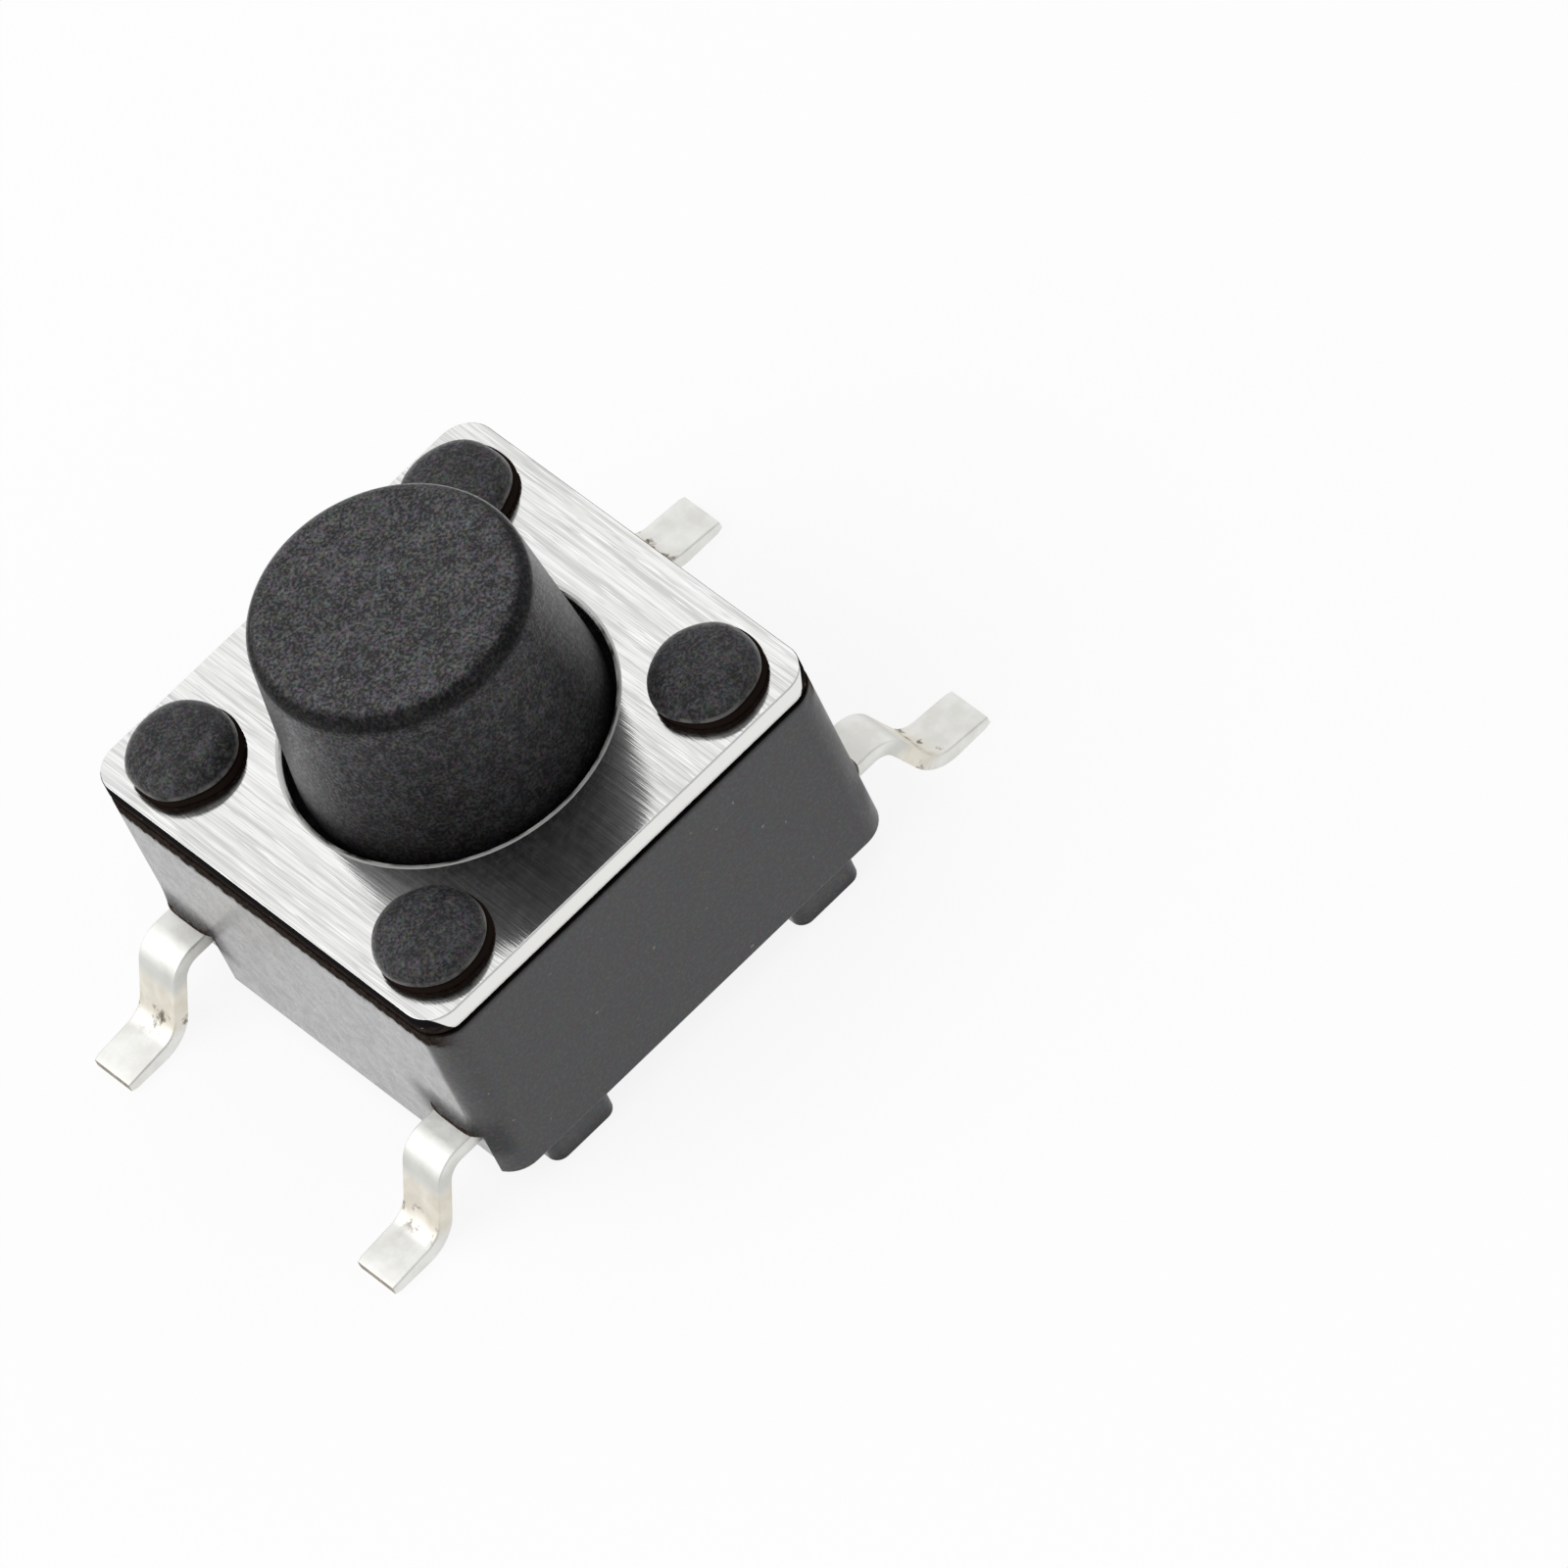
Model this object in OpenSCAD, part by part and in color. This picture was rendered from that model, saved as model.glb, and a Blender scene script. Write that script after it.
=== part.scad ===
// Tactile push button switch for surface mounting: a square moulded base with
// four gull-wing leads, a staked metal cover and a tall round button over a
// snap dome. The origin is the centre of the body on the board, +Z is up, and
// the leads leave the two walls that face +X and -X. Sizes are in millimetres.

/* [Body] */
// Side of the square base
body_w = 6.0; // [5.8:0.1:7.0]
// Radius of the base's upright corners
body_corner_r = 0.4; // [0.1:0.05:0.5]
// Height of the base's underside above the board
underside_z = 0.45; // [0.35:0.05:0.6]
// Height of the base from its underside to the cover
base_h = 2.75; // [2.6:0.05:3.4]
// Height of the shallow step around the base's top edge
top_step_h = 0.05; // [0.03:0.01:0.1]
// Width of that step
top_step_w = 0.08; // [0.04:0.01:0.2]

/* [Underside] */
// Distance from the middle pad to the walls beside it, at the underside
pad_margin = 0.95; // [0.85:0.05:1.5]
// Height of the middle pad below the underside
pad_drop = 0.18; // [0.1:0.02:0.3]
// How much wider the pad gets for each millimetre of height, on each side
pad_slope = 0.5; // [0:0.1:1]
// Height of the pad's ends above the underside, below the recesses of the leads
pad_end_h = 0.2; // [0.1:0.01:0.25]
// Width of each square foot
foot_w = 0.95; // [0.6:0.05:1.2]
// Corner radius of each foot
foot_corner_r = 0.16; // [0.1:0.02:0.3]
// Distance from a foot's middle to the wall with leads
foot_from_side = 1.07; // [0.9:0.05:1.5]
// Distance from a foot's face to the wall without leads
foot_inset = 0.07; // [0:0.01:0.3]
// Gap between the feet and the board, so that the leads stand first
foot_lift = 0.03; // [0.01:0.01:0.1]
// Diameter of the mould's support holes below the contacts
support_hole_d = 0.5; // [0.3:0.05:0.6]

/* [Cover] */
// Thickness of the cover plate
cover_t = 0.3; // [0.2:0.05:0.4]
// Corner radius of the cover
cover_corner_r = 0.4; // [0.2:0.05:0.8]
// Width of the plate between the button's hole and each side
cover_rim_w = 1.05; // [0.85:0.05:1.3]

/* [Stakes] */
// Distance from a stake's middle to the walls beside it
stake_margin = 0.85; // [0.75:0.05:1.0]
// Diameter of a stake where it passes the cover
stake_d = 0.84; // [0.6:0.02:1.0]
// Width of the lip that a stake's formed head makes around it
stake_lip = 0.26; // [0.14:0.02:0.3]
// Height of the head's upright collar
stake_collar_h = 0.13; // [0.05:0.01:0.2]
// Width of the step between the collar and the round top of the head
stake_step = 0.03; // [0.02:0.01:0.14]
// Height of the whole head above the cover
stake_head_h = 0.42; // [0.3:0.01:0.5]

/* [Button] */
// Height of the button's top above the cover
button_rise = 2.35; // [0.8:0.05:9.0]
// How much the button narrows on each side from the cover to its top
button_draft = 0.19; // [0.02:0.01:0.3]
// Radius of the button's rounded rim
button_rim_r = 0.25; // [0.05:0.01:0.4]
// How far the flange that holds the button reaches under the cover
flange_lip = 0.2; // [0.1:0.02:0.25]
// Thickness of that flange
flange_t = 0.7; // [0.4:0.05:0.9]
// Diameter of the boss below the flange
boss_d = 2.4; // [1.6:0.1:3.0]
// Diameter of the nib that presses the dome
nib_d = 1.0; // [0.6:0.05:1.4]
// Height of the nib
nib_h = 0.27; // [0.15:0.01:0.35]
// Distance that the button travels
travel = 0.25; // [0.15:0.01:0.28]

/* [Leads] */
// Thickness of the strip that the leads are stamped from
lead_t = 0.2; // [0.15:0.01:0.25]
// Width of a lead
lead_w = 0.65; // [0.5:0.05:0.8]
// Distance from a lead's middle to the wall beside it
lead_margin = 0.68; // [0.6:0.01:0.9]
// Distance from a wall to the tips of its leads
lead_reach = 1.7; // [1.55:0.05:2.2]
// Height of the strip's lower face above the base's underside
lead_rise = 0.52; // [0.45:0.01:0.6]
// Length of a lead from the wall to its first bend
lead_straight = 0.25; // [0.1:0.01:0.3]
// Inner radius of the first bend
lead_bend_r = 0.25; // [0.1:0.01:0.3]
// Inner radius of the bend above the foot
lead_heel_r = 0.35; // [0.1:0.01:0.4]
// Angle of the sloping part below the horizontal
lead_slope = 68; // [60:1:85]
// How much thinner the strip is at the tip of a foot
tip_thinning = 0.05; // [0:0.01:0.08]
// Depth of the recess in the wall around a lead
recess_depth = 0.12; // [0.06:0.01:0.25]
// How far the wall's lip over a lead stands out
lip_reach = 0.07; // [0.02:0.01:0.15]
// Height of that lip
lip_h = 0.45; // [0.2:0.05:0.6]
// How much wider than the lead the lip is, on each side
lip_side = 0.05; // [0.02:0.01:0.1]

/* [Contacts] */
// Free height below the dome
dome_h = 0.35; // [0.3:0.01:0.45]
// Thickness of the dome's sheet
dome_t = 0.08; // [0.05:0.01:0.12]
// Width of the shelf around the pocket that holds the dome
shelf_w = 0.25; // [0.15:0.05:0.5]
// Diameter of the middle contact
contact_d = 0.9; // [0.7:0.05:1.2]
// Diameter of the raised point on the middle contact
point_d = 0.5; // [0.3:0.05:0.6]
// Width of the tongue that carries the middle contact
tongue_w = 0.6; // [0.4:0.05:0.8]
// Width of the two arms that carry the dome's rim
arm_w = 0.5; // [0.4:0.05:0.7]
// How far the arms reach past the middle of the switch
arm_reach = 0.6; // [0.3:0.05:0.9]

/* [Clearances] */
// Between the button and the edge of its hole in the cover
button_gap = 0.1; // [0.1:0.01:0.25]
// Between the flange and the wall of the chamber
guide_gap = 0.05; // [0.02:0.01:0.1]
// Between the flange and the cover at rest
flange_gap = 0.02; // [0.01:0.01:0.05]
// Between the flange and the pocket's shelf when the button is down
shelf_gap = 0.31; // [0.1:0.01:0.5]
// Between the nib and the dome at rest
nib_gap = 0.01; // [0.005:0.005:0.03]
// Between the dome's edge and its pocket
dome_gap = 0.05; // [0.02:0.01:0.1]
// Between a stake and its hole in the cover
stake_gap = 0.03; // [0.01:0.01:0.08]
// Between a lead and each side of its recess
recess_gap = 0.12; // [0.05:0.01:0.2]
// Between the contact point and the dome when the button is down
snap_gap = 0.02; // [0.005:0.005:0.05]

/* [Hidden] */
$fn = 96;
arc_steps = 10;
cut = 0.5;                                // how far a cutting shape runs past a face

half_w = body_w / 2;
base_top = underside_z + base_h;
cover_top = base_top + cover_t;
button_top = cover_top + button_rise;
strip_z = underside_z + lead_rise;
floor_z = strip_z + lead_t;               // floor of the chamber, level with the strips
dome_top = floor_z + dome_h + dome_t;
flange_top = base_top - flange_gap;
flange_z = flange_top - flange_t;
shelf_z = flange_z - travel - shelf_gap;
nib_z = dome_top + nib_gap;
boss_z = nib_z + nib_h;
pad_end_z = underside_z + pad_end_h;
pad_z = underside_z - pad_drop;
pad_w = body_w - 2 * pad_margin;
row_y = half_w - lead_margin;
stake_xy = half_w - stake_margin;
tip_x = half_w + lead_reach;
cover_hole_d = body_w - 2 * cover_rim_w;
button_d = cover_hole_d - 2 * button_gap;
button_top_d = button_d - 2 * button_draft;
flange_d = cover_hole_d + 2 * flange_lip;
chamber_d = flange_d + 2 * guide_gap;
pocket_d = chamber_d - 2 * shelf_w;
dome_d = pocket_d - 2 * dome_gap;
point_h = dome_h - travel - snap_gap;
arm_x = dome_d / 2 - arm_w / 2;           // the arms lie just inside the dome's edge
foot_x = half_w - foot_from_side;
foot_y = half_w - foot_inset - foot_w / 2;

function arc(x, y, r, from, to) =
    [for (i = [0:arc_steps]) let (a = from + (to - from) * i / arc_steps)
        [x + r * cos(a), y + r * sin(a)]];

module rounded_square(w, r) {
    square([w - 2 * r, w], center = true);
    square([w, w - 2 * r], center = true);
    for (x = [-1, 1], y = [-1, 1])
        translate([x * (w / 2 - r), y * (w / 2 - r)]) circle(r);
}

// Repeats its children at the four places (+-x, +-y)
module four(x, y) {
    for (sx = [-1, 1], sy = [-1, 1]) translate([sx * x, sy * y, 0]) children();
}

// Repeats its children, made for the lead in the +X +Y corner, at the four leads
module at_leads() {
    for (side = [0, 1], end = [0, 1]) mirror([side, 0, 0]) mirror([0, end, 0]) children();
}

// Stands an outline drawn in X and Z up, with its thickness along Y
module along_y(width) {
    translate([0, width / 2, 0]) rotate([90, 0, 0]) linear_extrude(width) children();
}

// Side outline of a lead on the +X wall, from inside the base to the tip
bend_x = half_w + lead_straight;
bend_z = strip_z - lead_bend_r;
heel_z = lead_t + lead_heel_r;
radii = lead_bend_r + lead_t + lead_heel_r;
slope_len = (bend_z - heel_z + radii * cos(lead_slope)) / sin(lead_slope);
heel_x = bend_x + radii * sin(lead_slope) + slope_len * cos(lead_slope);
root_x = half_w - recess_depth - lead_w;

module lead_outline() {
    polygon(concat(
        [[root_x, strip_z], [root_x, floor_z]],
        arc(bend_x, bend_z, lead_bend_r + lead_t, 90, 90 - lead_slope),
        arc(heel_x, heel_z, lead_heel_r, 270 - lead_slope, 270),
        [[tip_x, lead_t - tip_thinning], [tip_x, 0]],
        arc(heel_x, heel_z, lead_heel_r + lead_t, 270, 270 - lead_slope),
        arc(bend_x, bend_z, lead_bend_r, 90 - lead_slope, 90)
    ));
}

// A straight bar across the body with a lead at both ends
module strip(y) {
    translate([-root_x, y - lead_w / 2, strip_z]) cube([2 * root_x, lead_w, lead_t]);
    for (side = [0, 1])
        mirror([side, 0, 0]) translate([0, y, 0]) along_y(lead_w) lead_outline();
}

module centre_terminal_solid() {
    strip(row_y);
    translate([0, 0, strip_z]) cylinder(h = lead_t, d = contact_d);
    translate([-tongue_w / 2, 0, strip_z]) cube([tongue_w, row_y, lead_t]);
    translate([0, 0, strip_z]) cylinder(h = lead_t + point_h, d = point_d);
}

module outer_terminal_solid() {
    strip(-row_y);
    for (s = [-1, 1])
        translate([s * arm_x - arm_w / 2, -row_y, strip_z])
            cube([arm_w, row_y + arm_reach, lead_t]);
}

module stakes() {
    collar_r = stake_d / 2 + stake_lip;
    top_r = collar_r - stake_step;
    bulge = stake_head_h - stake_collar_h;
    four(stake_xy, stake_xy) {
        translate([0, 0, base_top - cut]) cylinder(h = cut + cover_t, d = stake_d);
        translate([0, 0, cover_top]) rotate_extrude() polygon(concat(
            [[0, 0], [collar_r, 0], [collar_r, stake_collar_h]],
            [for (i = [0:arc_steps]) let (a = 90 * i / arc_steps)
                [top_r * pow(cos(a), 0.6), stake_collar_h + bulge * sin(a)]]
        ));
    }
}

// The pad runs from wall to wall and widens upwards
module middle_pad() {
    low = pad_w / 2 - pad_slope * pad_drop;
    high = pad_w / 2 + pad_slope * pad_end_h;
    rotate([90, 0, 90]) translate([0, 0, -half_w]) linear_extrude(body_w)
        polygon([[-low, pad_z], [low, pad_z], [high, pad_end_z], [-high, pad_end_z]]);
}

module feet() {
    translate([0, 0, foot_lift]) four(foot_x, foot_y)
        linear_extrude(pad_end_z - foot_lift) rounded_square(foot_w, foot_corner_r);
}

module chamber() {
    translate([0, 0, floor_z]) cylinder(h = base_top - floor_z, d = pocket_d);
    translate([0, 0, shelf_z]) cylinder(h = base_top - shelf_z + cut, d = chamber_d);
}

// Recess around each lead, open below
module lead_recesses() {
    w = lead_w + 2 * recess_gap;
    at_leads() translate([half_w - recess_depth, row_y - w / 2, 0])
        cube([recess_depth + cut, w, floor_z]);
}

// Lip of the wall over each lead, widest where it meets the lead
module lead_lips() {
    at_leads() translate([0, row_y, 0]) along_y(lead_w + 2 * lip_side) polygon([
        [half_w - recess_depth, floor_z], [half_w + lip_reach, floor_z],
        [half_w, floor_z + lip_h], [half_w - recess_depth, floor_z + lip_h]
    ]);
}

// Holes that the mould's pins leave below the three contacts
module support_holes() {
    for (x = [-arm_x, 0, arm_x])
        translate([x, 0, 0]) cylinder(h = strip_z, d = support_hole_d);
}

module base() {
    color("#4b4a4d") difference() {
        union() {
            difference() {
                union() {
                    translate([0, 0, underside_z]) linear_extrude(base_h - top_step_h)
                        rounded_square(body_w, body_corner_r);
                    translate([0, 0, underside_z]) linear_extrude(base_h)
                        rounded_square(body_w - 2 * top_step_w, body_corner_r);
                }
                lead_recesses();
            }
            lead_lips();
            middle_pad();
            feet();
            stakes();
        }
        chamber();
        support_holes();
        centre_terminal_solid();
        outer_terminal_solid();
    }
}

module cover() {
    color("#dcdcd8") translate([0, 0, base_top]) difference() {
        linear_extrude(cover_t)
            rounded_square(body_w, cover_corner_r);
        translate([0, 0, -cut]) cylinder(h = cover_t + 2 * cut, d = cover_hole_d);
        translate([0, 0, -cut]) four(stake_xy, stake_xy)
            cylinder(h = cover_t + 2 * cut, d = stake_d + 2 * stake_gap);
    }
}

module button() {
    rim_x = button_top_d / 2 - button_rim_r;
    color("#333234") rotate_extrude() polygon(concat(
        [[0, nib_z], [nib_d / 2, nib_z], [nib_d / 2, boss_z], [boss_d / 2, boss_z]],
        [[boss_d / 2, flange_z], [flange_d / 2, flange_z], [flange_d / 2, flange_top]],
        [[button_d / 2, flange_top], [button_d / 2, cover_top]],
        arc(rim_x, button_top - button_rim_r, button_rim_r, 0, 90),
        [[0, button_top]]
    ));
}

// A thin cap cut from a hollow ball
module dome() {
    inner = dome_d / 2 - dome_t;
    ball_r = (inner * inner + dome_h * dome_h) / (2 * dome_h);
    color("#c9c5b8") intersection() {
        translate([0, 0, floor_z]) cylinder(h = dome_h + 2 * dome_t, d = dome_d);
        translate([0, 0, floor_z + dome_h - ball_r]) difference() {
            sphere(ball_r + dome_t);
            sphere(ball_r);
        }
    }
}

module centre_terminal() {
    color("#e4e2da") centre_terminal_solid();
}

module outer_terminal() {
    color("#e4e2da") outer_terminal_solid();
}

base();
cover();
button();
dome();
centre_terminal();
outer_terminal();
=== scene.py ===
"""Looks of a tactile push button switch: a moulded base with four gull-wing
leads, a brushed metal cover under four formed stakes, and a tall round button.
Lengths are in millimetres until a mesh is finished, which scales it to metres."""

import math

import bmesh
import bpy
from mathutils import Matrix, Vector, noise


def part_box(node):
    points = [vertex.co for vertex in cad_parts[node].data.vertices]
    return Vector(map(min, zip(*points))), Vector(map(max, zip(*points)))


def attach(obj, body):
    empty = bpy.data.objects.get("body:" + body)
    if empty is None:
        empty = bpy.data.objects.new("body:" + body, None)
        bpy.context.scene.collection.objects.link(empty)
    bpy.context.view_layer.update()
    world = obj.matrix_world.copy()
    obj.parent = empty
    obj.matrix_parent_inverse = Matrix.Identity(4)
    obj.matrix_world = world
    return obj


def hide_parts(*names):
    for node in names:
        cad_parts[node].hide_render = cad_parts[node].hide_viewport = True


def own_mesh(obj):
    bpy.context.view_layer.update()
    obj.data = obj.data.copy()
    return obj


MM = 0.001
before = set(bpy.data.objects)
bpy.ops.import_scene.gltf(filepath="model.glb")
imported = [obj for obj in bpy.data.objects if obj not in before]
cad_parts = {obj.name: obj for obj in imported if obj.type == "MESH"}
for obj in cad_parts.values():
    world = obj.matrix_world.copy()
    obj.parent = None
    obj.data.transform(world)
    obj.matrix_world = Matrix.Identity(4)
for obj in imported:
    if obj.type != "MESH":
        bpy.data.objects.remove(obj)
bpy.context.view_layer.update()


def box_mm(node):
    """Lowest and highest corners of a CAD node in millimetres."""
    return [[v / MM for v in corner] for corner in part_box(node)]


# Sizes read from the frame
(_, _, BASE_TOP), (HALF_W, _, COVER_TOP) = box_mm("cover")
(_, _, NIB_Z), (FLANGE_R, _, BUTTON_TOP) = box_mm("button")
_, (TIP_X, _, FLOOR_Z) = box_mm("outer_terminal")
_, (DOME_R, _, DOME_TOP) = box_mm("dome")

# Base
CORNER_R = 0.4
UNDERSIDE_Z = 0.45
STEP_H, STEP_W = 0.05, 0.08
PAD_HALF_W, PAD_DROP, PAD_SLOPE, PAD_END_Z = 2.05, 0.18, 0.5, 0.65
FOOT_W, FOOT_CORNER_R, FOOT_FROM_SIDE, FOOT_INSET = 0.95, 0.16, 1.07, 0.07
FOOT_LIFT = 0.03
CHAMBER_R, POCKET_R, SHELF_Z = 2.2, 1.95, 1.92
SUPPORT_HOLE_R = 0.25
EDGE_ROUND, STEP_ROUND = 0.04, 0.015
CUT_PAST = 0.5

# Stakes
STAKE_MARGIN, STAKE_R = 0.85, 0.42
COLLAR_R, COLLAR_H, DISC_R, HEAD_H = 0.68, 0.13, 0.65, 0.42
STAKE_ROOT, COLLAR_EDGE, COLLAR_FOOT_IN = 0.3, 0.03, 0.05
GROOVE_IN, GROOVE_DOWN, SEAM_W = 0.03, 0.02, 0.012
SEAM_LOW, SEAM_HIGH, DISC_EDGE, HEAD_CURVE = 0.005, 0.03, 0.04, 0.6
DISC_SHIFT, WOBBLE, WOBBLES_PER_MM, WOBBLE_STEP = 0.03, 0.045, 2.2, 7.0

# Cover
COVER_CORNER_R, COVER_HOLE_R = 0.4, 1.95
COVER_ROLL, COVER_RIM_W = 0.014, 0.07
# Its sheared sides from their straight part down, as (inset, height above the base)
SHEARED_SIDE = ((0, 0.09), (0.008, 0.08), (0.012, 0.02), (0.03, 0))

# Button
FLANGE_Z, FLANGE_TOP = 2.48, 3.18
BOSS_R, BOSS_Z, NIB_R = 1.2, 1.88, 0.5
BOSS_EDGE, NIB_EDGE = 0.05, 0.04
BUTTON_R, BUTTON_TOP_R, BUTTON_RIM_R = 1.85, 1.66, 0.25

# Dome, which keeps this share of its height when the button is down
DOME_T, DOME_KEEP = 0.08, 0.43

# Leads
LEAD_T, LEAD_W, LEAD_MARGIN, TIP_T = 0.2, 0.65, 0.68, 0.15
BEND_R, HEEL_R, LEAD_SLOPE = 0.25, 0.35, math.radians(68)
LEAD_STRAIGHT, LEAD_BURIED, LEAD_EDGE_R, TIP_INSET = 0.25, 0.4, 0.03, 0.012
RECESS_DEPTH, RECESS_GAP, PAD_SIDE_GAP = 0.12, 0.12, 0.03
LIP_REACH, LIP_H, LIP_SINK, LIP_CURVE = 0.07, 0.45, 0.002, 2.2
TONGUE_W, ARM_W, ARM_X, ARM_REACH, CONTACT_R = 0.6, 0.5, 1.65, 0.6, 0.45
ROW_Y = HALF_W - LEAD_MARGIN
CORNERS = ((-1, -1), (1, -1), (1, 1), (-1, 1))

# Colours, as a dark and a light tone
CHARCOAL = (0.010, 0.010, 0.0105), (0.020, 0.0195, 0.0205)
BASE_GREY = (0.011, 0.011, 0.0125), (0.023, 0.0225, 0.0245)
# Brown of real stains and of painted shade below the cover's edge and round the leads' roots
STAIN_AND_SHADE_BROWN = (0.025, 0.018, 0.015), (0.095, 0.075, 0.065)
BRUSHED = (0.66, 0.66, 0.645), (0.94, 0.94, 0.93)
# Tones of the painted highlight on the rim of the cover's hole
RIM_HIGHLIGHT_TONES = (0.06, 0.055, 0.05), (0.8, 0.8, 0.78)
TIN_GREY = (0.72, 0.715, 0.68), (0.83, 0.83, 0.81)
TIN_CREAM = (0.68, 0.64, 0.55), (0.81, 0.78, 0.70)
BRASS = (0.13, 0.105, 0.08), (0.42, 0.36, 0.28)

# Colours of marks and edges, and of painted shade and painted highlights
# Painted shade low on the button
# Pale seam painted as a highlight on the stakes' discs
SEAM_HIGHLIGHT, BUTTON_SHADE_PAINT = (0.17, 0.165, 0.155), (0.004, 0.0035, 0.0035)
# Brown of the painted shade on the stakes' collars
COLLAR_SHADE_BROWN = (0.021, 0.014, 0.0115)
BASE_FLECK, BASE_SPECK = (0.078, 0.078, 0.084), (0.32, 0.32, 0.31)
# Black of the painted shade just under the cover
# Dark of the painted shade in crevices
UNDER_COVER_SHADE, CREVICE_SHADE = (0.004, 0.004, 0.004), (0.007, 0.004, 0.003)
BRUSH_LINE, BRUSH_GROOVE = (1.0, 1.0, 1.0), (0.5, 0.5, 0.49)
# Black at the top of the cover's X edges: cut metal and painted shade
PLATED, CUT_AND_SHADE_BLACK, CUT_FLECK = (0.8, 0.8, 0.78), (0.02, 0.018, 0.02), (0.45, 0.42, 0.4)
# Grey of the painted shade at the leads' bends
BEND_SHADE_GREY, HEEL_SCUFF = (0.5, 0.5, 0.47), (0.17, 0.14, 0.115)

# Camera, fitted to the photograph
VIEW_AZIMUTH, VIEW_ELEVATION, VIEW_ROLL = -20.6963, 50.5165, 27.5657
VIEW_DISTANCE = 250.0
VIEW_TARGET = (2.12735, -2.75632, 1.99515)
LENS, SENSOR = 517.75, 36.0

# Light tent, lamp and floor. The tent goes from its dim to its bright side along TENT_WAY
TENT_WAY, TENT_DIM, TENT_BRIGHT, TENT_ON_MATT = (0.35, 0.94, 0.0), 0.6, 0.97, 0.5
LAMP_PLACE, LAMP_SIDE, LAMP_POWER = (-130, 60, 150), 260, 0.2
FLOOR_HALF_M, FLOOR_SHADE, FLOOR_GLOW = 0.5, 0.16, 0.87


# Mesh helpers


def ring_at(outline, z):
    """A flat outline of (x, y) points lifted to height z."""
    return [(x, y, z) for x, y in outline]


def circle(radius, steps, centre=(0.0, 0.0)):
    """Points of a circle, anticlockwise."""
    turn = 2 * math.pi / steps
    return [(centre[0] + radius * math.cos(turn * k), centre[1] + radius * math.sin(turn * k))
            for k in range(steps)]


def rounded_square(width, radius, corner_steps=10, side_steps=1, centre=(0.0, 0.0)):
    """Points of a square with round corners, anticlockwise from the +X side."""
    flat = width / 2 - radius
    points = []
    for corner, (sx, sy) in enumerate(((1, 1), (-1, 1), (-1, -1), (1, -1))):
        for step in range(corner_steps + 1):
            angle = math.pi / 2 * (corner + step / corner_steps)
            points.append((centre[0] + sx * flat + radius * math.cos(angle),
                           centre[1] + sy * flat + radius * math.sin(angle)))
        x, y = points[-1][0] - centre[0], points[-1][1] - centre[1]
        along = (-sx * 2 * flat, 0) if corner % 2 == 0 else (0, -sy * 2 * flat)
        for step in range(1, side_steps):
            share = step / side_steps
            points.append((centre[0] + x + along[0] * share, centre[1] + y + along[1] * share))
    return points


def arc(cx, cy, radius, start, end, steps):
    """Points of an arc between two angles in radians."""
    return [(cx + radius * math.cos(start + (end - start) * k / steps),
             cy + radius * math.sin(start + (end - start) * k / steps)) for k in range(steps + 1)]


def loft(bm, rings, cap_first=False, cap_last=False, closed=False):
    """Skins rings of equal count, and returns their rows of vertices."""
    rows = [[bm.verts.new(point) for point in ring] for ring in rings]
    pairs = list(zip(rows, rows[1:])) + ([(rows[-1], rows[0])] if closed else [])
    for low, high in pairs:
        for k in range(len(low)):
            after = (k + 1) % len(low)
            bm.faces.new((low[k], low[after], high[after], high[k]))
    if cap_first:
        bm.faces.new(reversed(rows[0]))
    if cap_last:
        bm.faces.new(rows[-1])
    return rows


def lathe(bm, profile, steps, centre=(0.0, 0.0)):
    """Turns (radius, z) points about an upright axis, with a point on it at each end."""
    rows = [ring_at(circle(radius, steps, centre), z) for radius, z in profile]
    verts = loft(bm, rows)
    for row, z, flip in ((verts[0], profile[0][1], True), (verts[-1], profile[-1][1], False)):
        hub = bm.verts.new((centre[0], centre[1], z))
        for k in range(steps):
            pair = (row[k], row[(k + 1) % steps])
            bm.faces.new((hub, pair[1], pair[0]) if flip else (hub, pair[0], pair[1]))
    return verts


def solid_object(bm, name="tool"):
    """A working object, in millimetres, from a closed mesh."""
    bmesh.ops.recalc_face_normals(bm, faces=bm.faces)
    mesh = bpy.data.meshes.new(name)
    bm.to_mesh(mesh)
    bm.free()
    obj = bpy.data.objects.new(name, mesh)
    bpy.context.scene.collection.objects.link(obj)
    return obj


def prism(outline, low, high):
    """A working object that stands an outline of (x, y) points between two heights."""
    bm = bmesh.new()
    loft(bm, [ring_at(outline, low), ring_at(outline, high)], cap_first=True, cap_last=True)
    return solid_object(bm)


def bar(corners, start, end, axis):
    """A working object that pushes an outline along X (axis 0) or Y (axis 1)."""
    bm = bmesh.new()
    place = (lambda a, b, t: (t, a, b)) if axis == 0 else (lambda a, b, t: (a, t, b))
    loft(bm, [[place(a, b, t) for a, b in corners] for t in (start, end)],
         cap_first=True, cap_last=True)
    return solid_object(bm)


def combine(target, tool, operation):
    """Adds tool to target or cuts it out, exactly, and removes tool."""
    modifier = target.modifiers.new("combine", "BOOLEAN")
    modifier.operation, modifier.solver, modifier.object = operation, "EXACT", tool
    settle(target)
    bpy.data.objects.remove(tool)


def settle(obj):
    """Applies an object's modifiers to its mesh."""
    graph = bpy.context.evaluated_depsgraph_get()
    mesh = bpy.data.meshes.new_from_object(obj.evaluated_get(graph))
    obj.modifiers.clear()
    old, obj.data = obj.data, mesh
    bpy.data.meshes.remove(old)


def round_edges(bm, chosen, width, segments=3):
    """Rounds the sharp edges that chosen(middle of the edge) accepts."""
    sharp = math.radians(32)
    edges = [e for e in bm.edges if len(e.link_faces) == 2 and e.calc_face_angle(0) > sharp
             and chosen((e.verts[0].co + e.verts[1].co) / 2)]
    bmesh.ops.bevel(bm, geom=edges, offset=width, offset_type="OFFSET", segments=segments,
                    profile=0.5, affect="EDGES", clamp_overlap=False, loop_slide=True)


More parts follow.
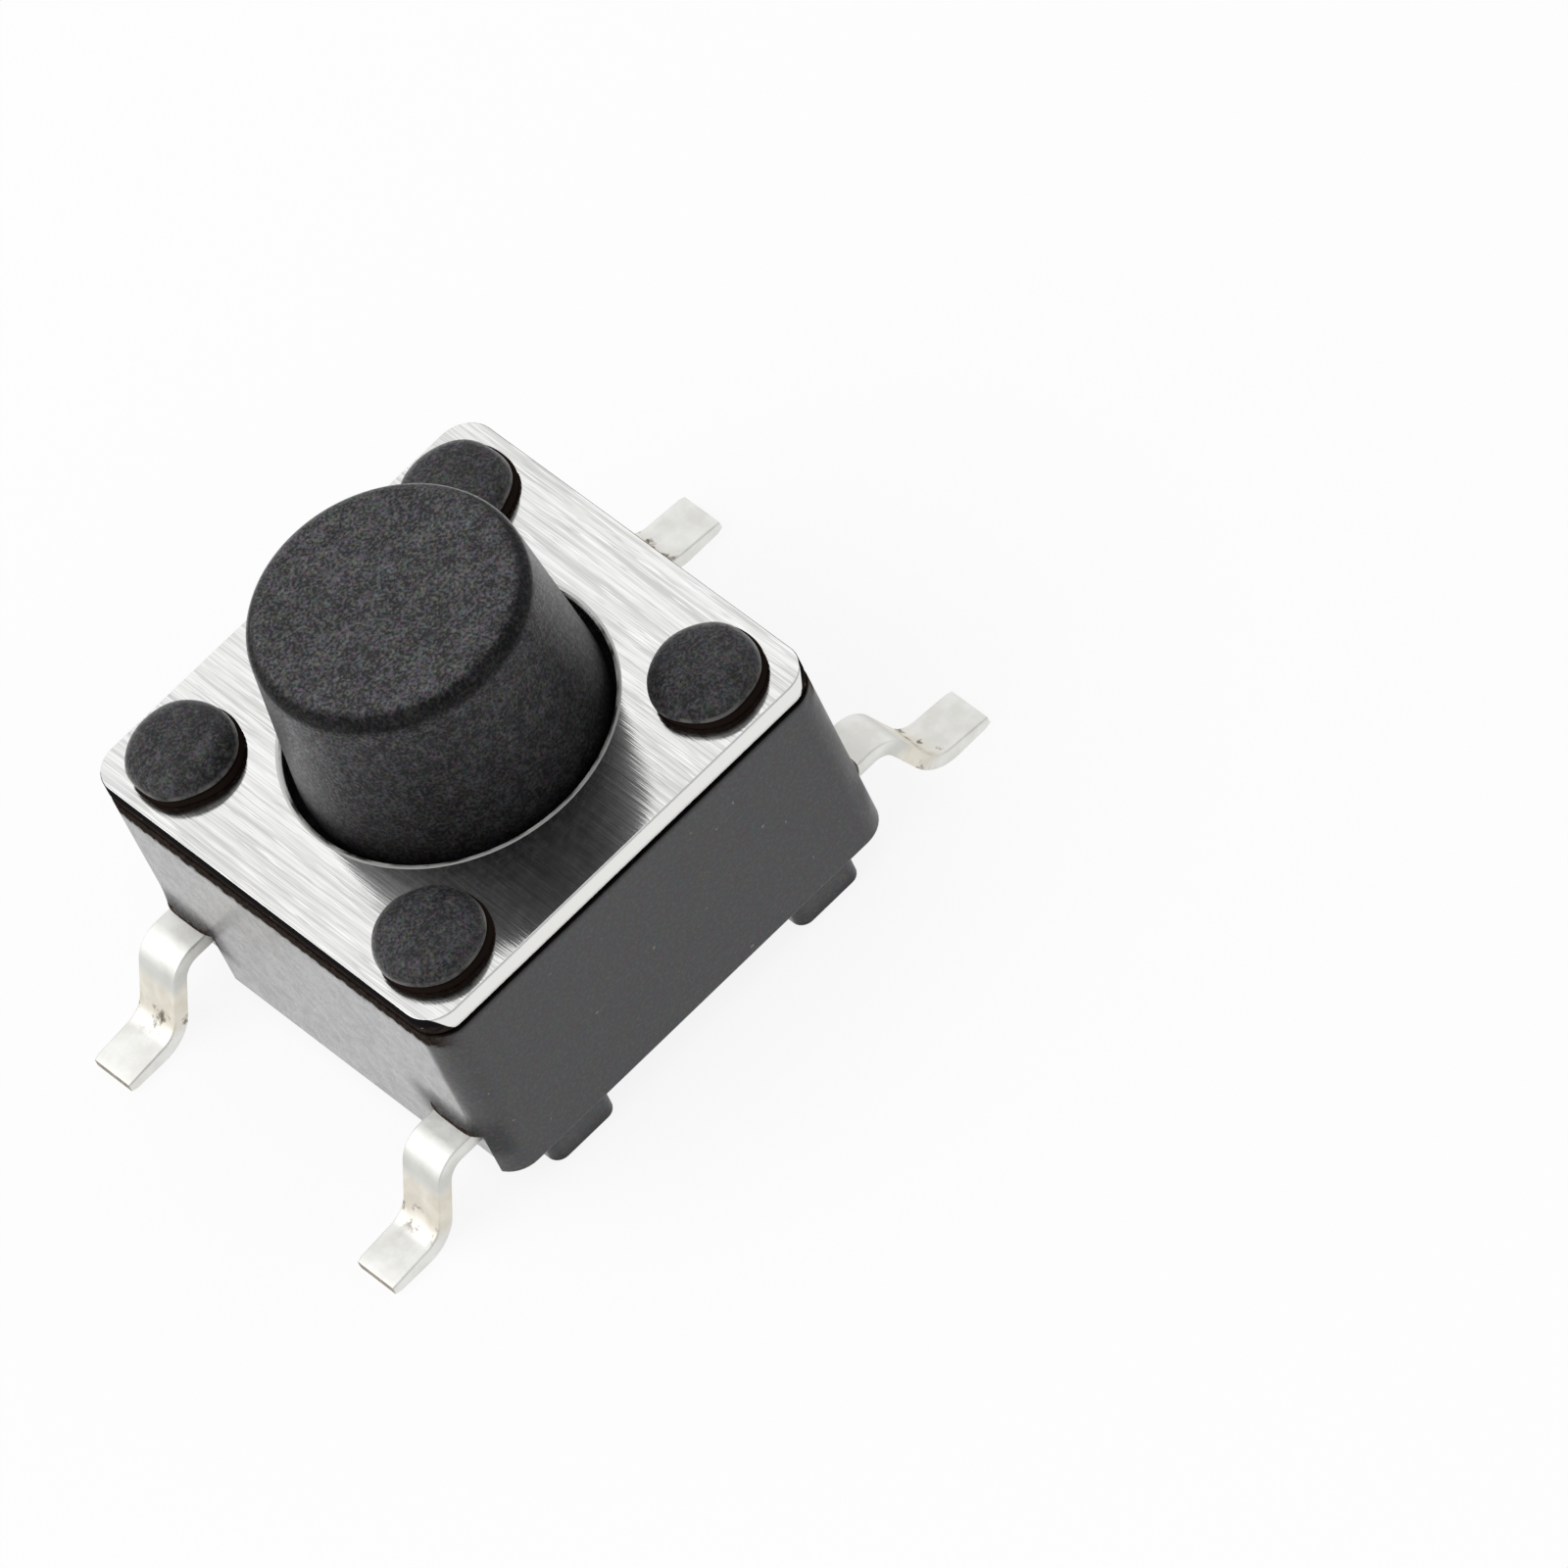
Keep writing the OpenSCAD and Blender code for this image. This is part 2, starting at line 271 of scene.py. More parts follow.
def finish_piece(obj, name, materials, body, slot, *nodes):
    """Shades, scales to metres, names and dresses a piece, and ties it to the frame."""
    obj.name = obj.data.name = name
    obj.data.shade_smooth()
    obj.data.set_sharp_from_angle(angle=math.radians(40))
    weighted = obj.modifiers.new("normals", "WEIGHTED_NORMAL")
    weighted.keep_sharp = True
    settle(obj)
    obj.data.transform(Matrix.Scale(MM, 4))
    for material in materials:
        obj.data.materials.append(material)
    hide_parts(*nodes)
    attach(obj, body)
    return obj


# Shader helpers


def add_node(tree, kind, inputs=None, **settings):
    """Adds a shader node. An input is given by name or number, as a value or a socket."""
    made = tree.nodes.new(kind)
    for key, value in settings.items():
        setattr(made, key, value)
    for key, value in (inputs or {}).items():
        if isinstance(value, bpy.types.NodeSocket):
            tree.links.new(value, made.inputs[key])
        else:
            made.inputs[key].default_value = value
    return made


def new_material(name):
    """A material with an empty tree, its Principled shader and the tree."""
    material = bpy.data.materials.new(name)
    material.use_nodes = True
    tree = material.node_tree
    tree.nodes.clear()
    shader = add_node(tree, "ShaderNodeBsdfPrincipled")
    output = add_node(tree, "ShaderNodeOutputMaterial")
    tree.links.new(shader.outputs[0], output.inputs["Surface"])
    return material, tree, shader


def grain(tree, size, detail=2.0, roughness=0.5, stretch=(1, 1, 1), offset=0.0):
    """Noise whose features are size millimetres wide, longer where stretch is above 1."""
    where = add_node(tree, "ShaderNodeTexCoord").outputs["Object"]
    scale = [1 / (size * MM * s) for s in stretch]
    mapped = add_node(tree, "ShaderNodeMapping",
                      {"Vector": where, "Scale": scale, "Location": (offset, offset, offset)})
    texture = add_node(tree, "ShaderNodeTexNoise", {
        "Vector": mapped.outputs[0], "Scale": 1.0, "Detail": detail, "Roughness": roughness})
    return texture.outputs["Fac"]


def spread(tree, value, low, high, to_low=0.0, to_high=1.0, kind="LINEAR"):
    """Maps low..high of a value to to_low..to_high, with the ends held."""
    return add_node(tree, "ShaderNodeMapRange", {
        "Value": value, "From Min": low, "From Max": high,
        "To Min": to_low, "To Max": to_high}, interpolation_type=kind).outputs[0]


def coordinate(tree, axis):
    """A point's X, Y or Z in millimetres."""
    where = add_node(tree, "ShaderNodeTexCoord").outputs["Object"]
    value = add_node(tree, "ShaderNodeSeparateXYZ", {0: where}).outputs[axis]
    return arithmetic(tree, "DIVIDE", value, MM)


def height(tree):
    """Height of a point above the board in millimetres."""
    return coordinate(tree, "Z")


def from_x_sides(tree):
    """Distance of a point from the planes of the X walls in millimetres."""
    across = arithmetic(tree, "ABSOLUTE", coordinate(tree, "X"))
    return arithmetic(tree, "SUBTRACT", HALF_W, across)


def band(tree, value, start, full, fading, end):
    """Rises from 0 at start to 1 at full, and falls from fading to 0 at end."""
    return arithmetic(tree, "MULTIPLY", spread(tree, value, start, full, kind="SMOOTHSTEP"),
                      spread(tree, value, end, fading, kind="SMOOTHSTEP"))


def openness(tree, reach):
    """1 on open surfaces, towards 0 in crevices, looking reach millimetres around."""
    return add_node(tree, "ShaderNodeAmbientOcclusion", {"Distance": reach * MM},
                    samples=8).outputs["AO"]


def tinted(tree, colour, size, strength):
    """Multiplies a colour by cloudy red, green and blue tints of its own brightness."""
    where = add_node(tree, "ShaderNodeTexCoord").outputs["Object"]
    clouds = add_node(tree, "ShaderNodeTexNoise", {
        "Vector": where, "Scale": 1 / (size * MM), "Detail": 2.0}).outputs["Color"]
    doubled = add_node(tree, "ShaderNodeVectorMath", {0: clouds, 1: (2, 2, 2)},
                       operation="MULTIPLY").outputs[0]
    mixed = add_node(tree, "ShaderNodeMix", {0: strength}, data_type="RGBA",
                     blend_type="MULTIPLY")
    tree.links.new(colour, mixed.inputs[6])
    tree.links.new(doubled, mixed.inputs[7])
    return mixed.outputs[2]


def blend_colour(tree, share, first, second):
    """Mixes two colours, given as tuples or sockets."""
    mixed = add_node(tree, "ShaderNodeMix", {0: share}, data_type="RGBA")
    for socket, value in ((6, first), (7, second)):
        if isinstance(value, bpy.types.NodeSocket):
            tree.links.new(value, mixed.inputs[socket])
        else:
            mixed.inputs[socket].default_value = (*value, 1.0)
    return mixed.outputs[2]


def arithmetic(tree, operation, first, second=0.0):
    """One step of arithmetic on values or sockets."""
    return add_node(tree, "ShaderNodeMath", {0: first, 1: second}, operation=operation).outputs[0]


def bumps(tree, relief, depth, under=None):
    """Bump with its full depth in millimetres, laid over another bump if one is given."""
    inputs = {"Height": relief, "Distance": depth * MM, "Strength": 1.0}
    if under:
        inputs["Normal"] = under
    return add_node(tree, "ShaderNodeBump", inputs).outputs[0]


# Materials


def turned_away(tree):
    """0 where a surface faces the viewer, towards 1 at grazing angles."""
    return add_node(tree, "ShaderNodeLayerWeight", {"Blend": 0.5}).outputs["Facing"]


def grazing_gloss(tree, shader, low, high, roughness, ior, share):
    """A rough gloss that a matt moulding only shows at grazing angles."""
    weight = arithmetic(tree, "MULTIPLY", spread(tree, turned_away(tree), low, high), share)
    tree.links.new(weight, shader.inputs["Coat Weight"])
    shader.inputs["Coat Roughness"].default_value = roughness
    shader.inputs["Coat IOR"].default_value = ior


def matt_plastic(name, fleck, shade_of):
    """Charcoal moulding with flecks of brightness fleck. shade_of(tree) gives a share of painted
    shade that is 0 where it is darkest, the colour there, and the share of a pale seam painted as a
    highlight."""
    material, tree, shader = new_material(name)
    fine = grain(tree, 0.04, detail=3.0, roughness=0.75)
    blotches = arithmetic(tree, "MULTIPLY", grain(tree, 0.16, detail=2.0, offset=4.0), 0.3)
    broad = grain(tree, 0.45, detail=3.0, offset=7.0)
    tone = blend_colour(tree, spread(tree, broad, 0.35, 0.65), *CHARCOAL)
    flecks = spread(tree, arithmetic(tree, "ADD", fine, blotches), 0.57, 0.9)
    colour = blend_colour(tree, flecks, tone, (fleck, fleck, 1.05 * fleck))
    colour = tinted(tree, colour, 0.08, 0.5)
    shade, dark, seam = shade_of(tree)
    shaded = blend_colour(tree, shade, dark, colour)
    shaded = blend_colour(tree, seam, shaded, SEAM_HIGHLIGHT)
    tree.links.new(shaded, shader.inputs["Base Color"])
    tree.links.new(spread(tree, fine, 0.3, 0.7, 0.7, 0.5), shader.inputs["Roughness"])
    tree.links.new(arithmetic(tree, "MULTIPLY", shade, 0.3), shader.inputs["Specular IOR Level"])
    share = arithmetic(tree, "MULTIPLY", shade, spread(tree, fine, 0.3, 0.7, 0.5, 1.0))
    grazing_gloss(tree, shader, 0.5, 0.85, 0.45, ior=1.9, share=share)
    coarse = bumps(tree, broad, 0.01)
    tree.links.new(bumps(tree, fine, 0.007, under=coarse), shader.inputs["Normal"])
    return material


def button_shade(tree):
    """Painted shade: darker towards the cover, and in a soft band below the rim that faces the
    viewer.
    """
    z = height(tree)
    rise = spread(tree, z, COVER_TOP, COVER_TOP + 1.9, 0.15, 1.0)
    # Painted shade in a band below the rim, where it faces the viewer
    rim = band(tree, z, BUTTON_TOP - 0.32, BUTTON_TOP - 0.2, BUTTON_TOP - 0.07, BUTTON_TOP - 0.008)
    rim = arithmetic(tree, "MULTIPLY", rim, spread(tree, turned_away(tree), 0.8, 0.65))
    shade = arithmetic(tree, "MULTIPLY", rise, spread(tree, rim, 0.0, 1.0, 1.0, 0.3))
    return shade, BUTTON_SHADE_PAINT, 0.0


def stake_shade(tree):
    """Painted shade in brown on the collars under the discs, with a pale seam painted as a
    highlight on the disc's lower edge.
    """
    z = height(tree)
    top = COVER_TOP + COLLAR_H
    # Pale seam painted as a highlight, in patches
    patchy = spread(tree, grain(tree, 0.2, detail=2.0, offset=31.0), 0.35, 0.55)
    seam = arithmetic(tree, "MULTIPLY", patchy, band(tree, z, top - 0.012, top + SEAM_LOW,
                                                   top + DISC_EDGE, top + 0.075))
    # Collars under the disc take the painted shade
    return spread(tree, z, top - GROOVE_DOWN, top + 0.01), COLLAR_SHADE_BROWN, seam


def facing_x(tree):
    """1 on walls that face along X, 0 where the surface has turned away."""
    normal = add_node(tree, "ShaderNodeNewGeometry").outputs["Normal"]
    x = add_node(tree, "ShaderNodeSeparateXYZ", {0: normal}).outputs["X"]
    return spread(tree, arithmetic(tree, "ABSOLUTE", x), 0.95, 0.997)


def from_leads(tree):
    """Distance of a point on an X wall from the nearest lead's root in millimetres."""
    across = arithmetic(tree, "ABSOLUTE", coordinate(tree, "Y"))
    from_row = arithmetic(tree, "ABSOLUTE", arithmetic(tree, "SUBTRACT", across, ROW_Y))
    beside = arithmetic(tree, "MAXIMUM", arithmetic(tree, "SUBTRACT", from_row, LEAD_W / 2), 0.0)
    above = arithmetic(tree, "MAXIMUM", arithmetic(tree, "SUBTRACT", height(tree), FLOOR_Z), 0.0)
    squares = [arithmetic(tree, "POWER", value, 2.0) for value in (beside, above)]
    return arithmetic(tree, "SQRT", arithmetic(tree, "ADD", *squares))


def stains_and_painted_shade(tree):
    """Shares of the brown band at the top of the X walls and round the leads' roots, part stain and
    part painted shade, of the black line of painted shade under the cover, and of the patches of
    painted shade with some dirt over the leads, where the gloss is cut."""
    ragged = spread(tree, grain(tree, 0.12, detail=3.0, offset=21.0), 0.3, 0.7, -0.04, 0.04)
    level = arithmetic(tree, "ADD", height(tree), ragged)
    # Brown band at the top of the X walls: painted shade under the cover's edge, with some dirt
    beside = spread(tree, from_x_sides(tree), 0.34, 0.06, kind="SMOOTHSTEP")
    top = arithmetic(tree, "MULTIPLY", beside,
                     spread(tree, level, BASE_TOP - 0.3, BASE_TOP - 0.21))
    on_wall = arithmetic(tree, "MULTIPLY", spread(tree, from_x_sides(tree), 0.3, 0.2),
                         spread(tree, height(tree), 0.7, 0.9))
    away = from_leads(tree)
    # Line round each lead's root: painted shade at the joint, with some dirt
    line = spread(tree, arithmetic(tree, "ADD", away, ragged), 0.085, 0.055)
    root = arithmetic(tree, "MULTIPLY", on_wall, line)
    # Painted shade over each lead, with some dirt: it dims the wall's gloss
    shade_and_dirt_over_leads = arithmetic(tree, "MULTIPLY", on_wall,
                      spread(tree, away, 0.55, 0.05, kind="SMOOTHSTEP"))
    # Black line just under the cover: painted shade
    black = spread(tree, height(tree), BASE_TOP - 0.13, BASE_TOP - 0.02)
    return arithmetic(tree, "MAXIMUM", top, root), black, shade_and_dirt_over_leads


def smooth_plastic():
    """Smoother dark plastic of the base, mottled, with a few pale specks, stains, and painted shade
    in crevices, under the cover and over the leads.
    """
    material, tree, shader = new_material("smooth_plastic")
    fine = grain(tree, 0.05, detail=2.0, roughness=0.7)
    broad = grain(tree, 0.4, detail=3.0, offset=3.0)
    tone = blend_colour(tree, spread(tree, broad, 0.35, 0.65), *BASE_GREY)
    flecks = spread(tree, fine, 0.45, 0.75)
    colour = blend_colour(tree, flecks, tone, BASE_FLECK)
    colour = tinted(tree, colour, 0.09, 0.75)
    specks = spread(tree, grain(tree, 0.09, detail=0.0, offset=11.0), 0.86, 0.885)
    colour = blend_colour(tree, specks, colour, BASE_SPECK)
    brown, black, shade_and_dirt_over_leads = stains_and_painted_shade(tree)
    rough = grain(tree, 0.06, detail=4.0, roughness=0.7, offset=17.0)
    # Painted shade under the cover
    colour = blend_colour(tree, black, colour, UNDER_COVER_SHADE)
    # Brown band and root lines, part stain and part painted shade
    brown_stain_and_shade = blend_colour(tree, spread(tree, rough, 0.35, 0.7), *STAIN_AND_SHADE_BROWN)
    colour = blend_colour(tree, brown, colour, brown_stain_and_shade)
    # Painted shade: ambient occlusion dims the gloss in crevices
    open_wide = spread(tree, openness(tree, 0.5), 0.35, 0.85)
    # Gloss is cut where stains and painted shade lie
    stained_or_shaded = arithmetic(tree, "MAXIMUM", brown, black)
    stained_or_shaded = arithmetic(tree, "MAXIMUM", stained_or_shaded, arithmetic(tree, "MULTIPLY", shade_and_dirt_over_leads, 0.85))
    unmarked = arithmetic(tree, "SUBTRACT", 1.0, stained_or_shaded)
    open_wide = arithmetic(tree, "MULTIPLY", open_wide, unmarked)
    # Painted shade: ambient occlusion darkens the colour in crevices
    hidden = spread(tree, openness(tree, 0.22), 0.25, 0.8)
    colour = blend_colour(tree, hidden, CREVICE_SHADE, colour)
    tree.links.new(colour, shader.inputs["Base Color"])
    tree.links.new(spread(tree, broad, 0.3, 0.7, 0.32, 0.42), shader.inputs["Roughness"])
    tree.links.new(arithmetic(tree, "MULTIPLY", open_wide, 0.7),
                   shader.inputs["Specular IOR Level"])
    cloudy = grain(tree, 0.16, detail=3.0, offset=27.0)
    mottled = spread(tree, arithmetic(tree, "ADD", fine, cloudy), 0.85, 1.15, 0.72, 1.0)
    walls = arithmetic(tree, "MULTIPLY", facing_x(tree), mottled)
    grazing_gloss(tree, shader, 0.6, 0.78, 0.27, ior=3.8,
                  share=arithmetic(tree, "MULTIPLY", open_wide, walls))
    coarse = bumps(tree, broad, 0.006)
    tree.links.new(bumps(tree, fine, 0.0035, under=coarse), shader.inputs["Normal"])
    return material


def brushed_metal():
    """Bright sheet of the cover, brushed along Y."""
    material, tree, shader = new_material("brushed_metal")
    wide = grain(tree, 0.06, detail=3.0, roughness=0.6, stretch=(1, 45, 1))
    thin = grain(tree, 0.022, detail=2.0, roughness=0.6, stretch=(1, 60, 1), offset=5.0)
    marks = arithmetic(tree, "MULTIPLY_ADD", wide, 0.6)
    tree.links.new(arithmetic(tree, "MULTIPLY", thin, 0.4), marks.node.inputs[2])
    tone = blend_colour(tree, spread(tree, marks, 0.4, 0.58), *BRUSHED)
    lines = spread(tree, grain(tree, 0.028, detail=1.0, stretch=(1, 26, 1), offset=2.0), 0.6, 0.7)
    tone = blend_colour(tree, lines, tone, BRUSH_LINE)
    grooves = spread(tree, grain(tree, 0.022, detail=1.0, stretch=(1, 22, 1), offset=8.0),
                     0.63, 0.75, 0.0, 0.6)
    tone = blend_colour(tree, grooves, tone, BRUSH_GROOVE)
    tree.links.new(tone, shader.inputs["Base Color"])
    shader.inputs["Metallic"].default_value = 1.0
    tree.links.new(spread(tree, marks, 0.3, 0.7, 0.13, 0.06), shader.inputs["Roughness"])
    tree.links.new(bumps(tree, marks, 0.0022), shader.inputs["Normal"])
    return material


def sheared_edge():
    """Edges of the cover: plated, but black over brown on the X sides, partly the cut metal's own
    colour and partly painted shade.
    """
    material, tree, shader = new_material("sheared_edge")
    beside = spread(tree, from_x_sides(tree), 0.95 * COVER_CORNER_R, 0.05 * COVER_CORNER_R,
                    kind="SMOOTHERSTEP")
    up = spread(tree, height(tree), BASE_TOP, COVER_TOP)
    rough = grain(tree, 0.05, detail=4.0, roughness=0.7, stretch=(1, 3, 0.8))
    # X sides of the cover: cut metal darkened with painted shade
    cut_and_shaded = spread(tree, arithmetic(tree, "SUBTRACT", arithmetic(tree, "MULTIPLY", beside, 1.1),
                                     up), -0.02, 0.05)
    brown = blend_colour(tree, spread(tree, rough, 0.35, 0.7), *STAIN_AND_SHADE_BROWN)
    flecks = spread(tree, grain(tree, 0.08, detail=1.0, offset=6.0), 0.72, 0.78)
    brown = blend_colour(tree, flecks, brown, CUT_FLECK)
    dark = blend_colour(tree, spread(tree, up, 0.35, 0.6), brown, CUT_AND_SHADE_BLACK)
    tree.links.new(blend_colour(tree, cut_and_shaded, PLATED, dark), shader.inputs["Base Color"])
    plated = spread(tree, up, 0.88, 0.95, 1.0, 0.3)
    tree.links.new(arithmetic(tree, "MULTIPLY", plated, arithmetic(tree, "SUBTRACT", 1.0, cut_and_shaded)),
                   shader.inputs["Metallic"])
    tree.links.new(spread(tree, cut_and_shaded, 0.0, 1.0, 0.25, 0.7), shader.inputs["Roughness"])
    tree.links.new(spread(tree, cut_and_shaded, 0.0, 1.0, 0.5, 0.0), shader.inputs["Specular IOR Level"])
    tree.links.new(bumps(tree, rough, 0.002), shader.inputs["Normal"])
    return material


def bright_rim():
    """Rim of the cover's hole, painted pale as a highlight that shows from every side."""
    material, tree, shader = new_material("bright_rim")
    patchy = grain(tree, 0.35, detail=3.0)
    # Painted highlight, patchy
    tone = blend_colour(tree, spread(tree, patchy, 0.38, 0.62), *RIM_HIGHLIGHT_TONES)
    tree.links.new(tone, shader.inputs["Base Color"])
    shader.inputs["Metallic"].default_value = 0.25
    shader.inputs["Roughness"].default_value = 0.4
    return material


def tin_plate():
    """Tin on the leads: cream on the slopes, with painted shade making them greyer at the bends,
    scuffed at the heels.
    """
    material, tree, shader = new_material("tin_plate")
    lines = grain(tree, 0.03, detail=2.0, stretch=(12, 1, 12))
    cloudy = grain(tree, 0.25, detail=3.0, offset=9.0)
    plain = blend_colour(tree, spread(tree, cloudy, 0.35, 0.65), *TIN_GREY)
    cream = blend_colour(tree, spread(tree, cloudy, 0.35, 0.65), *TIN_CREAM)
    z = height(tree)
    slope = arithmetic(tree, "MULTIPLY", spread(tree, z, 0.2, 0.35), spread(tree, z, 0.85, 0.7))
    tone = blend_colour(tree, slope, plain, cream)
    # Painted shade at the upper bends
    bend = arithmetic(tree, "MULTIPLY", spread(tree, z, 0.7, 0.85), spread(tree, z, 1.08, 0.95))
    tone = blend_colour(tree, arithmetic(tree, "MULTIPLY", bend, 0.5), tone, BEND_SHADE_GREY)
    spots = spread(tree, grain(tree, 0.16, detail=3.0, roughness=0.6, offset=13.0), 0.54, 0.66)
    heel = band(tree, z, 0.19, 0.26, 0.36, 0.5)
    tone = blend_colour(tree, arithmetic(tree, "MULTIPLY", spots, heel), tone, HEEL_SCUFF)
    tree.links.new(tone, shader.inputs["Base Color"])
    shader.inputs["Metallic"].default_value = 1.0
    tree.links.new(spread(tree, cloudy, 0.3, 0.7, 0.42, 0.54), shader.inputs["Roughness"])
    drawn = bumps(tree, lines, 0.0008)
    tree.links.new(bumps(tree, cloudy, 0.006, under=drawn), shader.inputs["Normal"])
    return material


def cut_brass():
    """Bare strip at the cut tips of the leads."""
    material, tree, shader = new_material("cut_brass")
    rough = grain(tree, 0.03, detail=3.0, stretch=(1, 1, 4))
    tone = blend_colour(tree, spread(tree, rough, 0.35, 0.65), *BRASS)
    tree.links.new(tone, shader.inputs["Base Color"])
    shader.inputs["Metallic"].default_value = 0.9
    shader.inputs["Roughness"].default_value = 0.42
    tree.links.new(bumps(tree, rough, 0.004), shader.inputs["Normal"])
    return material


# Pieces


def wall_at(y):
    """Distance from the middle to the outside of an X wall at y, round corner included."""
    past_flat = max(abs(y) - (HALF_W - CORNER_R), 0.0)
    return HALF_W - CORNER_R + math.sqrt(CORNER_R ** 2 - past_flat ** 2)


def lead_lip(sx, sy):
    """The wall's swelling over a lead, which fades out at its top and at both ends."""
    back, end_steps, rise_steps = HALF_W - RECESS_DEPTH, 20, 8
    half = LEAD_W / 2 + RECESS_GAP
    rings = []
    for k in range(end_steps + 1):
        across = -1 + 2 * k / end_steps
        fade = 1 - across ** 4
        y = ROW_Y + half * across
        reach = LIP_REACH * fade
        curve = [(wall_at(y) - LIP_SINK + reach * (1 - step / rise_steps) ** LIP_CURVE,
                  FLOOR_Z + LIP_H * step / rise_steps) for step in range(rise_steps + 1)]
        section = [(back, FLOOR_Z)] + curve + [(back, FLOOR_Z + LIP_H)]
        rings.append([(sx * x, sy * y, z) for x, z in section])
    bm = bmesh.new()
    loft(bm, rings, cap_first=True, cap_last=True)
    return solid_object(bm)


def base_body():
    """The base's solid: body, lips, pad and feet, less the recesses, chamber and holes."""

    def outline_at(inset, z):
        return ring_at(rounded_square(2 * (HALF_W - inset), CORNER_R - inset), z)

    lower_edge = arc(EDGE_ROUND, UNDERSIDE_Z + EDGE_ROUND, EDGE_ROUND, -math.pi / 2, -math.pi, 4)
    rings = [outline_at(inset, z) for inset, z in lower_edge]
    rings += [outline_at(0, BASE_TOP - STEP_H), outline_at(STEP_W, BASE_TOP - STEP_H),
              outline_at(STEP_W, BASE_TOP)]
    bm = bmesh.new()
    loft(bm, rings, cap_first=True, cap_last=True)
    body = solid_object(bm)
    low = PAD_HALF_W - PAD_SLOPE * PAD_DROP
    high = PAD_HALF_W + PAD_SLOPE * (PAD_END_Z - UNDERSIDE_Z)
    pad = [(-low, UNDERSIDE_Z - PAD_DROP), (low, UNDERSIDE_Z - PAD_DROP),
           (high, PAD_END_Z), (-high, PAD_END_Z)]
    combine(body, bar(pad, -HALF_W, HALF_W, axis=0), "UNION")

    back, beyond = HALF_W - RECESS_DEPTH, HALF_W + CUT_PAST
    foot_x, foot_y = HALF_W - FOOT_FROM_SIDE, HALF_W - FOOT_INSET - FOOT_W / 2
    for sx, sy in CORNERS:
        near = sy * (ROW_Y - LEAD_W / 2 - PAD_SIDE_GAP)
        far = sy * (ROW_Y + LEAD_W / 2 + RECESS_GAP)
        outline = [(sx * back, near), (sx * beyond, near), (sx * beyond, far), (sx * back, far)]
        combine(body, prism(outline, 0, FLOOR_Z), "DIFFERENCE")
    for sx, sy in CORNERS:
        combine(body, lead_lip(sx, sy), "UNION")
        outline = rounded_square(FOOT_W, FOOT_CORNER_R, 6, centre=(sx * foot_x, sy * foot_y))
        combine(body, prism(outline, FOOT_LIFT, PAD_END_Z), "UNION")

    for radius, floor_z in ((POCKET_R, FLOOR_Z), (CHAMBER_R, SHELF_Z)):
        combine(body, prism(circle(radius, 96), floor_z, BASE_TOP + CUT_PAST), "DIFFERENCE")
    for x in (-ARM_X, 0, ARM_X):
        hole = prism(circle(SUPPORT_HOLE_R, 32, (x, 0)), 0, FLOOR_Z - LEAD_T)
        combine(body, hole, "DIFFERENCE")
    return body


def stake_profile():
    """Outline of a stake from its foot in the base to the top of its formed head."""
    edge, edge_x, steps = COLLAR_EDGE, COLLAR_R - COLLAR_EDGE, 12
    collar_top = COVER_TOP + COLLAR_H
    profile = [(STAKE_R, BASE_TOP - STAKE_ROOT), (STAKE_R, COVER_TOP),
               (COLLAR_R - COLLAR_FOOT_IN, COVER_TOP)]
    profile += arc(edge_x, COVER_TOP + edge, edge, -math.pi / 3, 0, 2)
    profile += arc(edge_x, collar_top - 2 * edge, edge, 0, math.pi / 2, 4)
    profile += [(DISC_R - GROOVE_IN, collar_top - GROOVE_DOWN),
                (DISC_R + SEAM_W, collar_top + SEAM_LOW),
                (DISC_R + SEAM_W, collar_top + SEAM_HIGH)]
    for k in range(steps):
        angle = math.pi / 2 * (k + 1) / (steps + 1)
        rise = (HEAD_H - COLLAR_H - DISC_EDGE) * math.sin(angle)
        profile.append((DISC_R * math.cos(angle) ** HEAD_CURVE, collar_top + DISC_EDGE + rise))
    return profile + [(0.05, COVER_TOP + HEAD_H)]


def make_base(materials):
    """The moulded base with its stakes, whose formed heads are uneven and a little to -X."""
    body = base_body()
    bm = bmesh.new()
    bm.from_mesh(body.data)
    bmesh.ops.remove_doubles(bm, verts=bm.verts, dist=0.0005)
    bmesh.ops.dissolve_limit(bm, angle_limit=math.radians(0.5), verts=bm.verts, edges=bm.edges)

    def in_chamber(p):
        return math.hypot(p.x, p.y) < CHAMBER_R + 0.02

    step_z = BASE_TOP - 2 * STEP_H
    round_edges(bm, lambda p: p.z > step_z and not in_chamber(p), STEP_ROUND, 2)
    round_edges(bm, lambda p: p.z < FOOT_LIFT + 0.01, EDGE_ROUND)
    for face in bm.faces:
        face.material_index = 0
    stake_xy = HALF_W - STAKE_MARGIN
    for number, (sx, sy) in enumerate(CORNERS):
        centre = (sx * stake_xy, sy * stake_xy)
        rows = lathe(bm, stake_profile(), 64, centre)
        for row in rows:
            for vert in row:
                for face in vert.link_faces:
                    face.material_index = 1
                if vert.co.z <= COVER_TOP:
                    continue
                out = Vector((vert.co.x - centre[0], vert.co.y - centre[1], 0))
                wobble = noise.noise(Vector((out.x, out.y, vert.co.z)) * WOBBLES_PER_MM
                                     + Vector((WOBBLE_STEP * number, 0, 0)))
                vert.co += out * WOBBLE * wobble
                if vert.co.z > COVER_TOP + COLLAR_H:
                    vert.co.x -= DISC_SHIFT
    bm.to_mesh(body.data)
    bm.free()
    return finish_piece(body, "moulded_base", materials, "housing", "base_plastic", "base")


